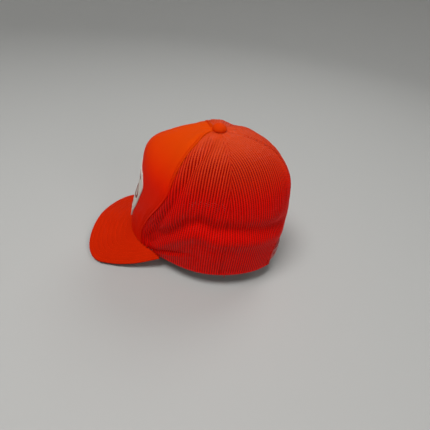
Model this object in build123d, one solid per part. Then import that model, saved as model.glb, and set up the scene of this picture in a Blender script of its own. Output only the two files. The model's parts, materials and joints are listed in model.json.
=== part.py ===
from build123d import *
import math
import os

# Trucker cap, millimetres. +Z up, visor towards -Y, wearer's left is +X.
# The origin is the centre of the head opening, in the plane of the hem, under the top button.

# --- driving dimensions -------------------------------------------------------------
crown_height = 158.0
# five key meridians of the crown, (radius, height) from under the button down to the hem
front_meridian = [(0, crown_height), (33, 153), (63, 142), (85, 125), (91, 84), (102, 41), (106, 5)]
corner_meridian = [(0, crown_height), (33, 155), (59, 138), (79, 113), (86, 79), (86, 40), (83, 1)]
side_meridian = [(0, crown_height), (32, 155), (57, 143), (71, 115), (77, 78), (78, 40), (76, 0)]
quarter_meridian = [(0, crown_height), (35, 156), (60, 141), (77, 112), (86, 77), (88, 40), (87, 0)]
back_meridian = [(0, crown_height), (37, 157), (70, 143), (93, 114), (100, 79), (102, 41), (104, 0)]
key_meridians = [front_meridian, corner_meridian, side_meridian, quarter_meridian, back_meridian]

top_station = 0.02          # panels start this far down their meridians, round the rivet
seam_azimuth_top = 62.0     # front seam, degrees from the front
seam_azimuth_button = 46.0  # front seam at the button, which it meets ahead of the middle
seam_button_station = 0.20  # above this station the front seam runs forward to the button
seam_azimuth_hem = 33.0
seam_turn_start = 0.50      # stations between which the front seam runs forward
seam_turn_end = 0.96
side_seam_azimuth = 115.0
visor_corner_azimuth = 53.0

fabric_thickness = 0.6
foam_thickness = 3.0
mesh_thickness = 1.0
tape_width = 10.0
tape_thickness = 0.5
band_height = 28.0
band_thickness = 1.2
band_end_azimuth = 148.5
layer_gap = 0.1             # between curved layers that lie on each other
binding_height = 4.0
binding_thickness = 0.6
binding_end_azimuth = 158.0

arch_half_width = 33.0
arch_height = 42.0
arch_binding_width = 5.0
arch_power = 2.5
arch_sheet_azimuth = 34.0   # sheet that the arch's binding is cut from

visor_board_thickness = 2.0
visor_board_inset = 1.2     # of the board's edge inside the covers'
cover_thickness = 0.6
visor_half_width = 79.9
visor_widest_at = 119.5     # forward distance of the widest line
visor_reach = 40.0          # from the widest line to the tip
visor_power = 2.1
visor_drop = 9.6            # height of the visor's tip below the hem plane
visor_side_drop = 6.4       # and of its widest points below its tip
visor_front_share = 0.62    # share of the outer edge, each side, that is the rounded front
visor_tuck = 1.0            # how far the visor goes in under the crown's hem
visor_sink = 0.7            # and how far below it lies

button_radius = 8.8
button_height = 6.8
rivet_radius = 1.8
rivet_plate_radius = 7.0
rivet_plate_thickness = 1.0

strap_radius = 50.0
strap_thickness = 1.3
strap_gap = 0.3
strap_bottom = 1.5
strap_height = 17.0
strap_root_azimuth = 163.0
strap_anchor_azimuth = 151.0
strap_split = 0.3           # between a strap and its sewn-in end
strap_tip_radius = 5.0
peg_pitch_angle = 8.7
peg_radius = 2.0
peg_tip = 0.95              # beyond the middle of the outer strap
hole_radius = 2.5
engaged_each_way = 2        # pegs in holes each side of the middle one
free_positions = 1          # pegs and holes beyond the overlap

patch_thickness = 1.2
# (half width, height) down one side of the shield from its top corner
patch_side = [(38.0, 102.5), (44.6, 88.0), (38.5, 62.0), (31.5, 41.5), (20.5, 22.5)]
patch_crest = 108.0
patch_foot = 9.0
patch_sheet_azimuth = 34.0      # sheet that the shield is cut from

label_azimuth = 124.0, 136.0
label_height = 9.0, 22.0
label_thickness = 0.5


# --- the crown surface ----------------------------------------------------------------
def meridian_weights(azimuth):
    """Share of each key meridian at an azimuth: a cosine series that passes through all five."""
    last = len(key_meridians) - 1
    weights = []
    for key in range(last + 1):
        total = 0.0
        for wave in range(last + 1):
            share = (0.5 if wave in (0, last) else 1.0) * (0.5 if key in (0, last) else 1.0)
            total += share * math.cos(math.pi * key * wave / last) * math.cos(wave * math.radians(azimuth))
        weights.append(total * 2 / last)
    return weights


def smooth_value(values, station, before):
    """Catmull-Rom curve through evenly spaced values, station 0 to 1."""
    spans = len(values) - 1
    padded = [before] + values + [2 * values[-1] - values[-2]]
    place = min(max(station, 0.0), 1.0) * spans
    span = min(int(place), spans - 1)
    f = place - span
    a, b, c, d = padded[span:span + 4]
    return 0.5 * (2 * b + (c - a) * f + (2 * a - 5 * b + 4 * c - d) * f ** 2 + (3 * b - a - 3 * c + d) * f ** 3)


def crown_point(azimuth, station):
    """Point of the crown's outer surface: azimuth from the front in degrees, station 0 top to 1 hem."""
    weights = meridian_weights(azimuth)
    count = len(front_meridian)
    radii = [sum(w * m[i][0] for w, m in zip(weights, key_meridians)) for i in range(count)]
    heights = [sum(w * m[i][1] for w, m in zip(weights, key_meridians)) for i in range(count)]
    radius = smooth_value(radii, station, -radii[1])
    height = smooth_value(heights, station, heights[1])
    angle = math.radians(azimuth)
    return Vector(radius * math.sin(angle), -radius * math.cos(angle), height)


def below_crown(azimuth, station, depth):
    """Point under the crown's outer surface, measured square to it. A negative depth is outside."""
    step = 0.01
    turn = 0.5
    down = crown_point(azimuth, min(station + step, 1.0)) - crown_point(azimuth, max(station - step, 0.005))
    around = crown_point(azimuth + turn, station) - crown_point(azimuth - turn, station)
    outward = around.cross(down).normalized() * -1
    if outward.dot(Vector(math.sin(math.radians(azimuth)), -math.cos(math.radians(azimuth)), 1)) < 0:
        outward = outward * -1
    return crown_point(azimuth, station) - outward * depth


def station_at_height(azimuth, height):
    """Station where a meridian comes down to a height, by halving."""
    low, high = 0.5, 1.0
    for _ in range(30):
        middle = (low + high) / 2
        if crown_point(azimuth, middle).Z > height:
            low = middle
        else:
            high = middle
    return (low + high) / 2


def eased(value, start, end):
    """Smooth step from 0 at start to 1 at end."""
    f = min(max((value - start) / (end - start), 0.0), 1.0)
    return f * f * (3 - 2 * f)


def front_seam(station):
    """Azimuth of the front seam: a meridian above, running forward to the visor and the button."""
    below = eased(station, seam_turn_start, seam_turn_end)
    above = 1 - eased(station, top_station, seam_button_station)
    azimuth = seam_azimuth_top + (seam_azimuth_hem - seam_azimuth_top) * below
    return azimuth + (seam_azimuth_button - seam_azimuth_top) * above


def spread(start, end, count):
    """Evenly spaced values from start to end."""
    return [start + (end - start) * i / (count - 1) for i in range(count)]


def closed_sheet(upper_points, lower_points):
    """Solid between two surfaces that are given as matching grids of points."""
    upper = Face.make_surface_from_array_of_points(upper_points, min_deg=3)
    lower = Face.make_surface_from_array_of_points(lower_points, min_deg=3)
    sides = []
    for edge in upper.edges():
        twin = min(lower.edges(), key=lambda other: (other.center() - edge.center()).length)
        sides.append(Face.make_surface_from_curves(edge, twin))
    return Solid(Shell([upper, lower] + sides))


def crown_sheet(left, right, top, bottom, outer, inner, columns=21, rows=41):
    """Sheet of the crown between two azimuths and two stations, from one depth to another.

    Each limit is a number or a function: azimuths of the station, depths of the azimuth,
    the bottom of the share of the way across."""
    def value(limit, at):
        return limit(at) if callable(limit) else limit

    grids = []
    for depth in (outer, inner):
        grid = []
        for share in spread(0, 1, columns):
            column = []
            for drop in spread(0, 1, rows):
                last = value(bottom, share)
                station = top + (last - top) * drop
                azimuth = value(left, station) * (1 - share) + value(right, station) * share
                column.append(below_crown(azimuth, station, value(depth, azimuth)))
            grid.append(column)
        grids.append(grid)
    return closed_sheet(grids[0], grids[1])


def mirrored(shape):
    return shape.mirror(Plane.YZ)


# --- the rear arch ----------------------------------------------------------------------
def arch_prism(margin, y_from=60.0, y_to=130.0):
    """Half-moon prism of the rear opening, grown by a margin."""
    half_width = arch_half_width + margin
    height = arch_height + margin
    outline = []
    for angle in spread(0, math.pi, 25):
        across = math.copysign(abs(math.cos(angle)) ** (2 / arch_power), math.cos(angle))
        outline.append((half_width * across, height * math.sin(angle) ** (2 / arch_power)))
    foot = -20.0
    with BuildPart() as prism:
        with BuildSketch(Plane.XZ.offset(-y_to)):
            with BuildLine():
                curve = Spline(*outline)
                Polyline(curve @ 1, (-half_width, foot), (half_width, foot), curve @ 0)
            make_face()
        extrude(amount=y_to - y_from)
    return prism.part


# --- crown pieces -------------------------------------------------------------------------
def front_panel(outer, inner, top):
    return crown_sheet(lambda s: -front_seam(s), front_seam, top, 1.0, outer, inner, columns=25)


def side_panel():
    return crown_sheet(front_seam, side_seam_azimuth, top_station, 1.0, 0.0, mesh_thickness)


def rear_panel():
    whole = crown_sheet(side_seam_azimuth, 180.0, top_station, 1.0, 0.0, mesh_thickness)
    return whole - arch_prism(arch_binding_width)


def seam_tape(seam, side_sign, centred, top=0.08, bottom=0.8):
    """Tape under a seam, as wide as tape_width measured round the crown."""
    def edge(share):
        def azimuth(station):
            on_seam = crown_point(seam(station), station)
            radius = math.hypot(on_seam.X, on_seam.Y)
            return seam(station) + side_sign * math.degrees(share * tape_width / radius)
        return azimuth
    first, last = (-0.5, 0.5) if centred else (0.02, 1.02)
    depth = mesh_thickness + 0.2
    return crown_sheet(edge(first), edge(last), top, bottom, depth, depth + tape_thickness, columns=9)


def band_outer(azimuth):
    """Depth of the sweatband's outer face: under the foam in front, under the mesh elsewhere."""
    lining = fabric_thickness + foam_thickness + 4 * layer_gap
    beside = mesh_thickness + tape_thickness + 3 * layer_gap
    f = min(max((abs(azimuth) - seam_azimuth_hem - 5) / 10, 0.0), 1.0)
    return lining + (beside - lining) * f * f * (3 - 2 * f)


def band_inner(azimuth):
    return band_outer(azimuth) + band_thickness


def sweatband():
    """Band round the inside of the hem, open at the rear arch."""
    top = station_at_height(90, band_height)
    return crown_sheet(-band_end_azimuth, band_end_azimuth, top, 0.98, band_outer, band_inner, 81, 9)


def hem_binding():
    """Folded binding on the outside of the hem, from the visor's corner to the rear arch."""
    top = station_at_height(90, binding_height)
    outer = -binding_thickness
    strip = crown_sheet(visor_corner_azimuth, binding_end_azimuth, top, 1.0, outer, -layer_gap, 29, 7)
    return strip - arch_prism(arch_binding_width)


def rear_arch_binding():
    """Binding round the edge of the rear opening, with its legs down to the hem."""
    left = 180 - arch_sheet_azimuth
    right = 180 + arch_sheet_azimuth
    outer = -binding_thickness
    inner = mesh_thickness + binding_thickness
    shell = crown_sheet(left, right, 0.55, 1.0, outer, inner, 19, 15)
    ring = arch_prism(arch_binding_width) - arch_prism(0.0)
    return shell & ring


def front_patch():
    """Shield patch, sewn flat on the front panel."""
    edge = patch_sheet_azimuth
    shell = crown_sheet(-edge, edge, 0.42, 0.99, -patch_thickness, -layer_gap, 21, 25)
    left = [Vector(x, z) for x, z in patch_side]
    right = [Vector(-x, z) for x, z in patch_side]
    with BuildPart() as prism:
        with BuildSketch(Plane.XZ):
            with BuildLine():
                ThreePointArc(right[0], (0, patch_crest), left[0])
                Spline(*left, (0, patch_foot))
                Spline(*right, (0, patch_foot))
            make_face()
        extrude(amount=2 * front_meridian[-1][0])
    return shell & prism.part


# --- visor ---------------------------------------------------------------------------------
def visor_edge(share):
    """Point of the visor's outer edge, share -1 to 1 from corner to corner."""
    sign = -1 if share < 0 else 1
    share = abs(share)
    if share <= visor_front_share:
        angle = share / visor_front_share * math.pi / 2
        forward_term = (math.cos(angle) / visor_reach) ** visor_power
        side_term = (math.sin(angle) / visor_half_width) ** visor_power
        reach = (forward_term + side_term) ** (-1 / visor_power)
        height = -visor_drop - visor_side_drop * math.sin(angle) ** 2
        return Vector(sign * reach * math.sin(angle), -visor_widest_at - reach * math.cos(angle), height)
    corner = crown_point(visor_corner_azimuth, 1.0)
    tail = (share - visor_front_share) / (1 - visor_front_share)
    width = visor_half_width + (corner.X + 3 - visor_half_width) * tail ** 2
    forward = visor_widest_at + (-corner.Y + 1 - visor_widest_at) * tail
    side_height = -visor_drop - visor_side_drop
    height = side_height + (corner.Z - side_height) * tail ** 2
    return Vector(sign * width, -forward, height)


def visor_root(share):
    """Inner edge of the visor, tucked just under the crown's hem."""
    azimuth = visor_corner_azimuth * share
    return below_crown(azimuth, 1.0, visor_tuck) - Vector(0, 0, visor_sink)


def visor_sheet(top, bottom, inset=0.0, columns=41, rows=11):
    """Layer of the visor between two depths below its top face, its edge drawn in by an inset."""
    grids = []
    for depth in (top, bottom):
        grid = []
        for share in spread(-1, 1, columns):
            root = visor_root(share)
            edge = visor_edge(share)
            reach = 1 - inset / (edge - root).length
            column = []
            for way in spread(0, reach, rows):
                column.append(root + (edge - root) * way - Vector(0, 0, depth))
            grid.append(column)
        grids.append(grid)
    return closed_sheet(grids[0], grids[1])


# --- button and rivet ------------------------------------------------------------------------
def crown_button_cap():
    """Fabric-covered dome on top of the crown."""
    base = crown_height + 0.5
    sphere_radius = (button_radius ** 2 + button_height ** 2) / (2 * button_height)
    with BuildPart() as cap:
        with BuildSketch(Plane.XZ):
            with BuildLine():
                Line((0, base), (button_radius, base))
                rise = Line((button_radius, base), (button_radius, base + 0.8))
                top = (0, base + button_height + 0.8)
                middle_angle = math.asin(button_radius / sphere_radius) / 2
                middle = (sphere_radius * math.sin(middle_angle),
                          base + 0.8 + button_height - sphere_radius * (1 - math.cos(middle_angle)))
                ThreePointArc(rise @ 1, middle, top)
                Line(top, (0, base))
            make_face()
        revolve(axis=Axis.Z)
    return cap.part


def crown_button_rivet():
    """Post through the top of the crown, with its back plate against the lining."""
    plate_top = crown_height - fabric_thickness - foam_thickness - 1.4
    with BuildPart() as rivet:
        with Locations((0, 0, plate_top - rivet_plate_thickness)):
            align = (Align.CENTER, Align.CENTER, Align.MIN)
            Cylinder(rivet_plate_radius, rivet_plate_thickness, align=align)
        with Locations((0, 0, plate_top)):
            Cylinder(rivet_radius, crown_height + 0.5 - plate_top, align=align)
    return rivet.part


# --- snap straps --------------------------------------------------------------------------------
strap_depth = mesh_thickness + binding_thickness + 3 * layer_gap
strap_middle_station = station_at_height(strap_root_azimuth, strap_bottom + strap_height / 2)
strap_root = below_crown(strap_root_azimuth, strap_middle_station, strap_depth)
root_angle = math.degrees(math.asin(strap_root.X / strap_radius))
strap_centre_y = strap_root.Y - strap_radius * math.cos(math.radians(root_angle))
peg_direction = root_angle / 2
tip_angle = peg_pitch_angle * (engaged_each_way + 0.55)
split_angle = math.degrees(strap_split / strap_radius)


def strap_point(angle, radius, height=0.0):
    turn = math.radians(angle)
    return Vector(radius * math.sin(turn), strap_centre_y + radius * math.cos(turn), height)


def strap_band(tip, end, outer_radius):
    """Arc band between two angles. Its tip is rounded in height."""
    inner_radius = outer_radius - strap_thickness
    middle = (tip + end) / 2
    with BuildPart() as band:
        with BuildSketch(Plane.XY.offset(strap_bottom)):
            with BuildLine():
                outer = ThreePointArc(*[strap_point(angle, outer_radius) for angle in (tip, middle, end)])
                inner = ThreePointArc(*[strap_point(angle, inner_radius) for angle in (tip, middle, end)])
                Line(outer @ 0, inner @ 0)
                Line(outer @ 1, inner @ 1)
            make_face()
        extrude(amount=strap_height)
        tip_middle = strap_point(tip, outer_radius - strap_thickness / 2)
        corner_edges = []
        for edge in band.edges().filter_by(Plane.XY):
            at = edge.center()
            if math.hypot(at.X - tip_middle.X, at.Y - tip_middle.Y) < 0.2:
                corner_edges.append(edge)
        fillet(corner_edges, radius=strap_tip_radius)
    return band.part


def along_peg(position, start, end, bar_radius):
    """Round bar through the outer strap at a peg's position, pointing the way the strap comes off."""
    angle = position * peg_pitch_angle
    turn = math.radians(peg_direction)
    direction = Vector(math.sin(turn), math.cos(turn), 0)
    middle = strap_point(angle, outer_strap_radius - strap_thickness / 2, strap_bottom + strap_height / 2)
    base = middle + direction * start
    return extrude(Plane(origin=base, z_dir=direction) * Circle(bar_radius), amount=end - start)


outer_strap_radius = strap_radius
inner_strap_radius = strap_radius - strap_thickness - strap_gap


def hole_strap():
    """Outer strap: it comes from the left and has the holes."""
    strap = strap_band(-tip_angle, root_angle - split_angle, outer_strap_radius)
    for position in range(-engaged_each_way, engaged_each_way + free_positions + 1):
        strap = strap - along_peg(position, -4.0, 4.0, hole_radius)
    return strap


def peg_strap():
    """Inner strap: it comes from the right and has the pegs."""
    strap = strap_band(tip_angle, -root_angle + split_angle, inner_strap_radius)
    foot = -strap_thickness - strap_gap
    for position in range(-engaged_each_way - free_positions, engaged_each_way + 1):
        strap = strap + along_peg(position, foot, peg_tip, peg_radius)
    return strap


def strap_anchor(inwards):
    """Sewn-in end of the left strap, against the inside of the rear panel."""
    depth = strap_depth + inwards
    top = station_at_height(strap_root_azimuth, strap_bottom + strap_height)
    bottom = station_at_height(strap_root_azimuth, strap_bottom)
    inner = depth + strap_thickness
    return crown_sheet(strap_anchor_azimuth, strap_root_azimuth, top, bottom, depth, inner, 9, 5)


# --- size label ------------------------------------------------------------------------------------
def size_label():
    """Folded woven label on the inside of the sweatband, left of the rear arch."""
    start, end = label_azimuth
    bottom = station_at_height(start, label_height[0])
    top = station_at_height(start, label_height[1])
    depth = band_inner(start) + 2 * layer_gap
    return crown_sheet(start, end, top, bottom, depth, depth + label_thickness, 9, 5)


# --- write the parts ---------------------------------------------------------------------------------
left_side_panel = side_panel()
left_rear_panel = rear_panel()
front_tape = seam_tape(front_seam, 1, False)
side_tape = seam_tape(lambda s: side_seam_azimuth, 1, True)
left_hem_binding = hem_binding()

parts = {
    "front_panel_fabric": front_panel(0.0, fabric_thickness, top_station),
    "front_foam_backing": front_panel(fabric_thickness + layer_gap, fabric_thickness + foam_thickness, 0.05),
    "side_mesh_panel_left": left_side_panel,
    "side_mesh_panel_right": mirrored(left_side_panel),
    "rear_mesh_panel_left": left_rear_panel,
    "rear_mesh_panel_right": mirrored(left_rear_panel),
    "front_seam_tape_left": front_tape,
    "front_seam_tape_right": mirrored(front_tape),
    "side_seam_tape_left": side_tape,
    "side_seam_tape_right": mirrored(side_tape),
    "rear_seam_tape": seam_tape(lambda s: 180.0, 1, True, bottom=0.62),
    "visor_top_cover": visor_sheet(0.0, cover_thickness),
    "visor_board": visor_sheet(cover_thickness, cover_thickness + visor_board_thickness, visor_board_inset),
    "visor_under_cover": visor_sheet(cover_thickness + visor_board_thickness,
                                     2 * cover_thickness + visor_board_thickness),
    "crown_button_cap": crown_button_cap(),
    "crown_button_rivet": crown_button_rivet(),
    "sweatband": sweatband(),
    "rear_arch_binding": rear_arch_binding(),
    "hem_binding_left": left_hem_binding,
    "hem_binding_right": mirrored(left_hem_binding),
    "peg_strap_anchor": mirrored(strap_anchor(strap_thickness + strap_gap)),
    "peg_strap": peg_strap(),
    "hole_strap_anchor": strap_anchor(0.0),
    "hole_strap": hole_strap(),
    "front_patch": front_patch(),
    "size_label": size_label(),
}

os.makedirs("parts", exist_ok=True)
for name, shape in parts.items():
    export_step(shape, "parts/" + name + ".step")
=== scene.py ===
import json
import math

import bmesh
import bpy
import numpy as np
from mathutils import Matrix, Vector


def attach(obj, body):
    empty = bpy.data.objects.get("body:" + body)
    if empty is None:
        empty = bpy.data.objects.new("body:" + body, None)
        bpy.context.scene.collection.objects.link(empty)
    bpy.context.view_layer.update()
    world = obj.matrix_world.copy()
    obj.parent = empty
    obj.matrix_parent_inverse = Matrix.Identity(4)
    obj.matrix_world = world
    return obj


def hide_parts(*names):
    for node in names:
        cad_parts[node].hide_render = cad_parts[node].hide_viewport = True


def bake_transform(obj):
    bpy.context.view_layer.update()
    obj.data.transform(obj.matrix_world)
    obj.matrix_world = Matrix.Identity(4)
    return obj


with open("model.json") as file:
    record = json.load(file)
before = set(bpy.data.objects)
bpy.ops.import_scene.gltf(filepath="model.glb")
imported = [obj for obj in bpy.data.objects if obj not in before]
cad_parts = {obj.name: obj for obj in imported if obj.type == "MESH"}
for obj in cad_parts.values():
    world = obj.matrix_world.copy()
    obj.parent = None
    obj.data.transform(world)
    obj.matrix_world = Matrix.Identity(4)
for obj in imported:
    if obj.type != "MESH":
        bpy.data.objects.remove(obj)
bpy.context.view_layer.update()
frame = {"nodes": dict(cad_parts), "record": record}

# Trucker cap, metres. +Z up, visor towards -Y, wearer's left is +X. Lengths named _mm are millimetres.
MM = 0.001

# --- camera ---------------------------------------------------------------------------
camera_place = Vector((0.3763, 0.0448, 0.3305))
camera_azimuth = math.radians(5.3)      # of the way back from the cap to the camera
camera_elevation = math.radians(37.98)
camera_roll = math.radians(8.62)
camera_lens_mm = 29.47
sensor_mm = 36.0


def add_camera():
    back = Vector((math.cos(camera_elevation) * math.cos(camera_azimuth),
                   math.cos(camera_elevation) * math.sin(camera_azimuth),
                   math.sin(camera_elevation)))
    right = (-back).cross(Vector((0, 0, 1))).normalized()
    up = right.cross(-back)
    x_axis = right * math.cos(camera_roll) + up * math.sin(camera_roll)
    y_axis = up * math.cos(camera_roll) - right * math.sin(camera_roll)
    data = bpy.data.cameras.new("camera")
    data.lens = camera_lens_mm
    data.sensor_width = sensor_mm
    data.clip_start = 0.01
    data.clip_end = 50
    camera = bpy.data.objects.new("camera", data)
    axes = Matrix((x_axis, y_axis, back)).transposed().to_4x4()
    camera.matrix_world = Matrix.Translation(camera_place) @ axes
    bpy.context.scene.collection.objects.link(camera)
    bpy.context.scene.camera = camera


add_camera()

# --- the crown surface, as the CAD has it ---------------------------------------------
crown_height = 158 * MM
# five key meridians, front to back, (radius, height) from under the button down to the hem
KEYS = np.array([
    [(0, 158), (33, 153), (63, 142), (85, 125), (91, 84), (102, 41), (106, 5)],
    [(0, 158), (33, 155), (59, 138), (79, 113), (86, 79), (86, 40), (83, 1)],
    [(0, 158), (32, 155), (57, 143), (71, 115), (77, 78), (78, 40), (76, 0)],
    [(0, 158), (35, 156), (60, 141), (77, 112), (86, 77), (88, 40), (87, 0)],
    [(0, 158), (37, 157), (70, 143), (93, 114), (100, 79), (102, 41), (104, 0)],
]) * MM
seam_azimuth_button = 46.0
seam_azimuth_top = 62.0
seam_azimuth_hem = 33.0
seam_turn = 0.50, 0.96      # stations between which the front seam runs forward
seam_button_station = 0.20  # and above which it runs forward to the button
side_seam_azimuth = 115.0
visor_corner_azimuth = 53.0
top_station = 0.02
mesh_thickness = 1.0 * MM
fabric_thickness = 0.6 * MM
foam_thickness = 3.0 * MM
tape_thickness = 0.5 * MM
tape_width = 10 * MM
band_height = 28 * MM
band_thickness = 1.2 * MM
band_end_azimuth = 148.5
layer_gap = 0.1 * MM


def smoothstep(value, start, end):
    f = np.clip((value - start) / (end - start), 0, 1)
    return f * f * (3 - 2 * f)


def bump(value, centre, width):
    return np.exp(-((value - centre) / width) ** 2)


def ridge(distance, out, centre, width):
    """Swell across a distance, or a groove where out is below 0; its three sizes in millimetres."""
    return out * MM * bump(distance, centre * MM, width * MM)


def key_weights(azimuth):
    last = len(KEYS) - 1
    turn = np.radians(azimuth)
    weights = []
    for key in range(last + 1):
        total = 0.0
        for wave in range(last + 1):
            share = (0.5 if wave in (0, last) else 1.0) * (0.5 if key in (0, last) else 1.0)
            total = total + share * math.cos(math.pi * key * wave / last) * np.cos(wave * turn)
        weights.append(total * 2 / last)
    return np.stack(weights, -1)


def spline_point(a, b, c, d, f):
    """Catmull-Rom point at f of the way from b to c."""
    return 0.5 * (2 * b + (c - a) * f + (2 * a - 5 * b + 4 * c - d) * f ** 2
                  + (3 * b - a - 3 * c + d) * f ** 3)


def catmull_rom(values, station, before):
    """Smooth curve through evenly spaced values (last axis), station 0 to 1."""
    after = 2 * values[..., -1:] - values[..., -2:-1]
    padded = np.concatenate([before[..., None], values, after], -1)
    place = np.clip(station, 0, 1) * (values.shape[-1] - 1)
    span = np.minimum(place.astype(int), values.shape[-1] - 2)
    keys = [np.take_along_axis(padded, span[..., None] + i, -1)[..., 0] for i in range(4)]
    return spline_point(*keys, place - span)


def crown(azimuth, station):
    """Points of the crown's outer surface: azimuth from the front in degrees, station 0 top to 1 hem."""
    azimuth, station = np.broadcast_arrays(np.asarray(azimuth, float), np.asarray(station, float))
    weights = key_weights(azimuth)
    radii = weights @ KEYS[:, :, 0]
    heights = weights @ KEYS[:, :, 1]
    radius = catmull_rom(radii, station, -radii[..., 1])
    height = catmull_rom(heights, station, heights[..., 1])
    turn = np.radians(azimuth)
    return np.stack([radius * np.sin(turn), -radius * np.cos(turn), height], -1)


def unit(vectors):
    return vectors / np.maximum(np.linalg.norm(vectors, axis=-1, keepdims=True), 1e-12)


def radius_of(points):
    """Distance of points from the cap's upright axis."""
    return np.hypot(points[..., 0], points[..., 1])


def circle(count):
    """Angles evenly spaced round a circle."""
    return np.linspace(0, 2 * math.pi, count, endpoint=False)


def crown_normal(azimuth, station):
    azimuth, station = np.broadcast_arrays(np.asarray(azimuth, float), np.asarray(station, float))
    down = crown(azimuth, np.minimum(station + 0.01, 1)) - crown(azimuth, np.maximum(station - 0.01, 0.005))
    around = crown(azimuth + 0.5, station) - crown(azimuth - 0.5, station)
    outward = unit(np.cross(down, around))
    turn = np.radians(azimuth)
    way = np.stack([np.sin(turn), -np.cos(turn), np.ones_like(turn)], -1)
    sign = np.where((outward * way).sum(-1) < 0, -1.0, 1.0)
    return outward * sign[..., None]


def front_seam(station):
    azimuth = seam_azimuth_top + (seam_azimuth_hem - seam_azimuth_top) * smoothstep(station, *seam_turn)
    to_button = 1 - smoothstep(station, top_station, seam_button_station)
    return azimuth + (seam_azimuth_button - seam_azimuth_top) * to_button


# height of the ledge round the crown (mm), by azimuth: it drops to the visor's corner
LEDGE = [(40, 48, 61, 71, 80, 89, 97, 103, 118, 144, 180), (8, 18, 36, 49, 60, 67, 65, 61, 61, 58, 54)]
# the deep fold beside the front seam: how far behind the seam it runs (mm), by station
VALLEY = [(0.10, 0.22, 0.30, 0.43, 0.53, 0.67, 0.83, 0.95), (9.5, 14.5, 16, 13.5, 9.5, 11.5, 16, 17)]
# height of the crease that runs back from the visor's corner (mm), by azimuth
WEDGE = [(43, 54, 66, 86), (4, 13, 19, 31)]
# dents and swells on the far side of the top: (out mm, radius mm, width mm, azimuth, its width)
TOP_FOLDS = [(-1.4, 44, 14, -102, 11), (1.5, 48, 12, -133, 12)]
fold_limit = 3.2 * MM       # inward folds are squeezed beyond this
fold_squeeze = 2.2 * MM     # and go no deeper than this much more


def relief(azimuth, station, points):
    """How far the cloth stands out from the CAD surface: folds, the ledge, dents at the seams."""
    height = points[..., 2]
    radius = radius_of(points)
    side = np.abs(azimuth)
    arc = np.radians(side - front_seam(station)) * radius
    behind = smoothstep(arc, 2 * MM, 16 * MM) * (1 - smoothstep(side, 160, 178))
    over = height - np.interp(side, *LEDGE) * MM
    out = ridge(over, 2.6, -5, 10) * behind * smoothstep(height, 0, 14 * MM)
    out = out + ridge(over, -4.6, 11, 10) * behind
    # the fold beside the front seam, and the swell behind it
    fold = arc - np.interp(station, *VALLEY) * MM
    down = np.where(azimuth > 0, smoothstep(station, 0.06, 0.18), smoothstep(station, 0.36, 0.5))
    down = down * (1 - 0.75 * smoothstep(station, 0.72, 0.95))
    out = out + ridge(fold, -4.0, 0, 5) * down
    out = out + ridge(fold, 1.6, 12, 7) * down
    # soft folds that hang down the side and rear panels
    hang = np.cos((arc - 41 * MM) / (12.5 * MM) * 2 * math.pi) * smoothstep(arc, 22 * MM, 32 * MM)
    hang = hang * (1 - smoothstep(side, 104, 114))
    rear = np.cos(np.radians(side - 142) * radius / (15 * MM) * 2 * math.pi) * smoothstep(side, 118, 126)
    rear = rear * (1 - smoothstep(side, 162, 174))
    out = out + 0.45 * MM * (hang + rear) * bump(station, 0.50, 0.17)
    crease = height - np.interp(side, *WEDGE) * MM
    reach = smoothstep(side, 38, 46) * (1 - smoothstep(side, 64, 92))
    out = out + ridge(crease, -2.4, 0, 2.8) * reach
    swell = smoothstep(side, 44, 54) * (1 - smoothstep(side, 64, 92))
    out = out + ridge(crease, 0.9, -6, 3.5) * swell
    for seam in (side_seam_azimuth, 180.0):
        away = np.radians(side - seam) * radius
        out = out + ridge(away, -0.5, 0, 2) * smoothstep(radius, 12 * MM, 25 * MM)
    # pleats that gather at the lower end of the front seam
    pleats = np.sin(arc / (4.6 * MM) * 2 * math.pi + 9 * station)
    out = out + 0.55 * MM * pleats * bump(arc, 9 * MM, 7 * MM) * smoothstep(station, 0.62, 0.80)
    # puckers round the button, and a fold of mesh that stands up behind it on the far side
    puckers = np.cos(np.radians(azimuth) * 9 + 0.7) + 0.6 * np.cos(np.radians(azimuth) * 14 + 2.1)
    out = out + 0.40 * MM * puckers * bump(radius, 15 * MM, 8 * MM)
    out = out + ridge(radius, -0.9, 34, 16)
    standing = smoothstep(-azimuth, 60, 68) * (1 - smoothstep(-azimuth, 84, 97))
    out = out + ridge(radius, 2.3, 32, 17) * standing
    for depth, at, width, middle, spread in TOP_FOLDS:
        out = out + ridge(radius, depth, at, width) * bump(azimuth, middle, spread)
    # slow unevenness
    wave = np.sin(np.radians(azimuth) * 5 + height * 60) * np.cos(height * 75 + 1.3)
    wave = wave + 0.7 * np.sin(np.radians(azimuth) * 11 - height * 45 + 0.5)
    out = out + 0.3 * MM * wave * smoothstep(radius, 15 * MM, 50 * MM) * smoothstep(height, 0, 30 * MM)
    # where folds cross they are no deeper than a few millimetres, and less beside the sweatband
    room = 0.4 + 0.6 * smoothstep(height, 24 * MM, 46 * MM)
    below = np.maximum(-fold_limit * room - out, 0)
    return out + below - fold_squeeze * room * np.tanh(below / (fold_squeeze * room))


def on_crown(azimuth, station, out=0.0):
    """Points on the cloth, moved outwards by out."""
    points = crown(azimuth, station)
    azimuth = np.broadcast_to(np.asarray(azimuth, float), points.shape[:-1])
    station = np.broadcast_to(np.asarray(station, float), points.shape[:-1])
    lift = relief(azimuth, station, points) + out
    return points + crown_normal(azimuth, station) * lift[..., None]


def inside_crown(azimuth, station, depth):
    """Points at a depth inside the crown, pushed in further where the cloth folds inwards."""
    points = crown(azimuth, station)
    folded = np.minimum(relief(azimuth, station, points), 0)
    return points + crown_normal(azimuth, station) * (folded - depth)[..., None]


def station_at_height(azimuth, height):
    low = np.full(np.shape(azimuth), 0.45)
    high = np.ones(np.shape(azimuth))
    for _ in range(24):
        middle = (low + high) / 2
        above = crown(azimuth, middle)[..., 2] > height
        low = np.where(above, middle, low)
        high = np.where(above, high, middle)
    return (low + high) / 2


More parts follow.
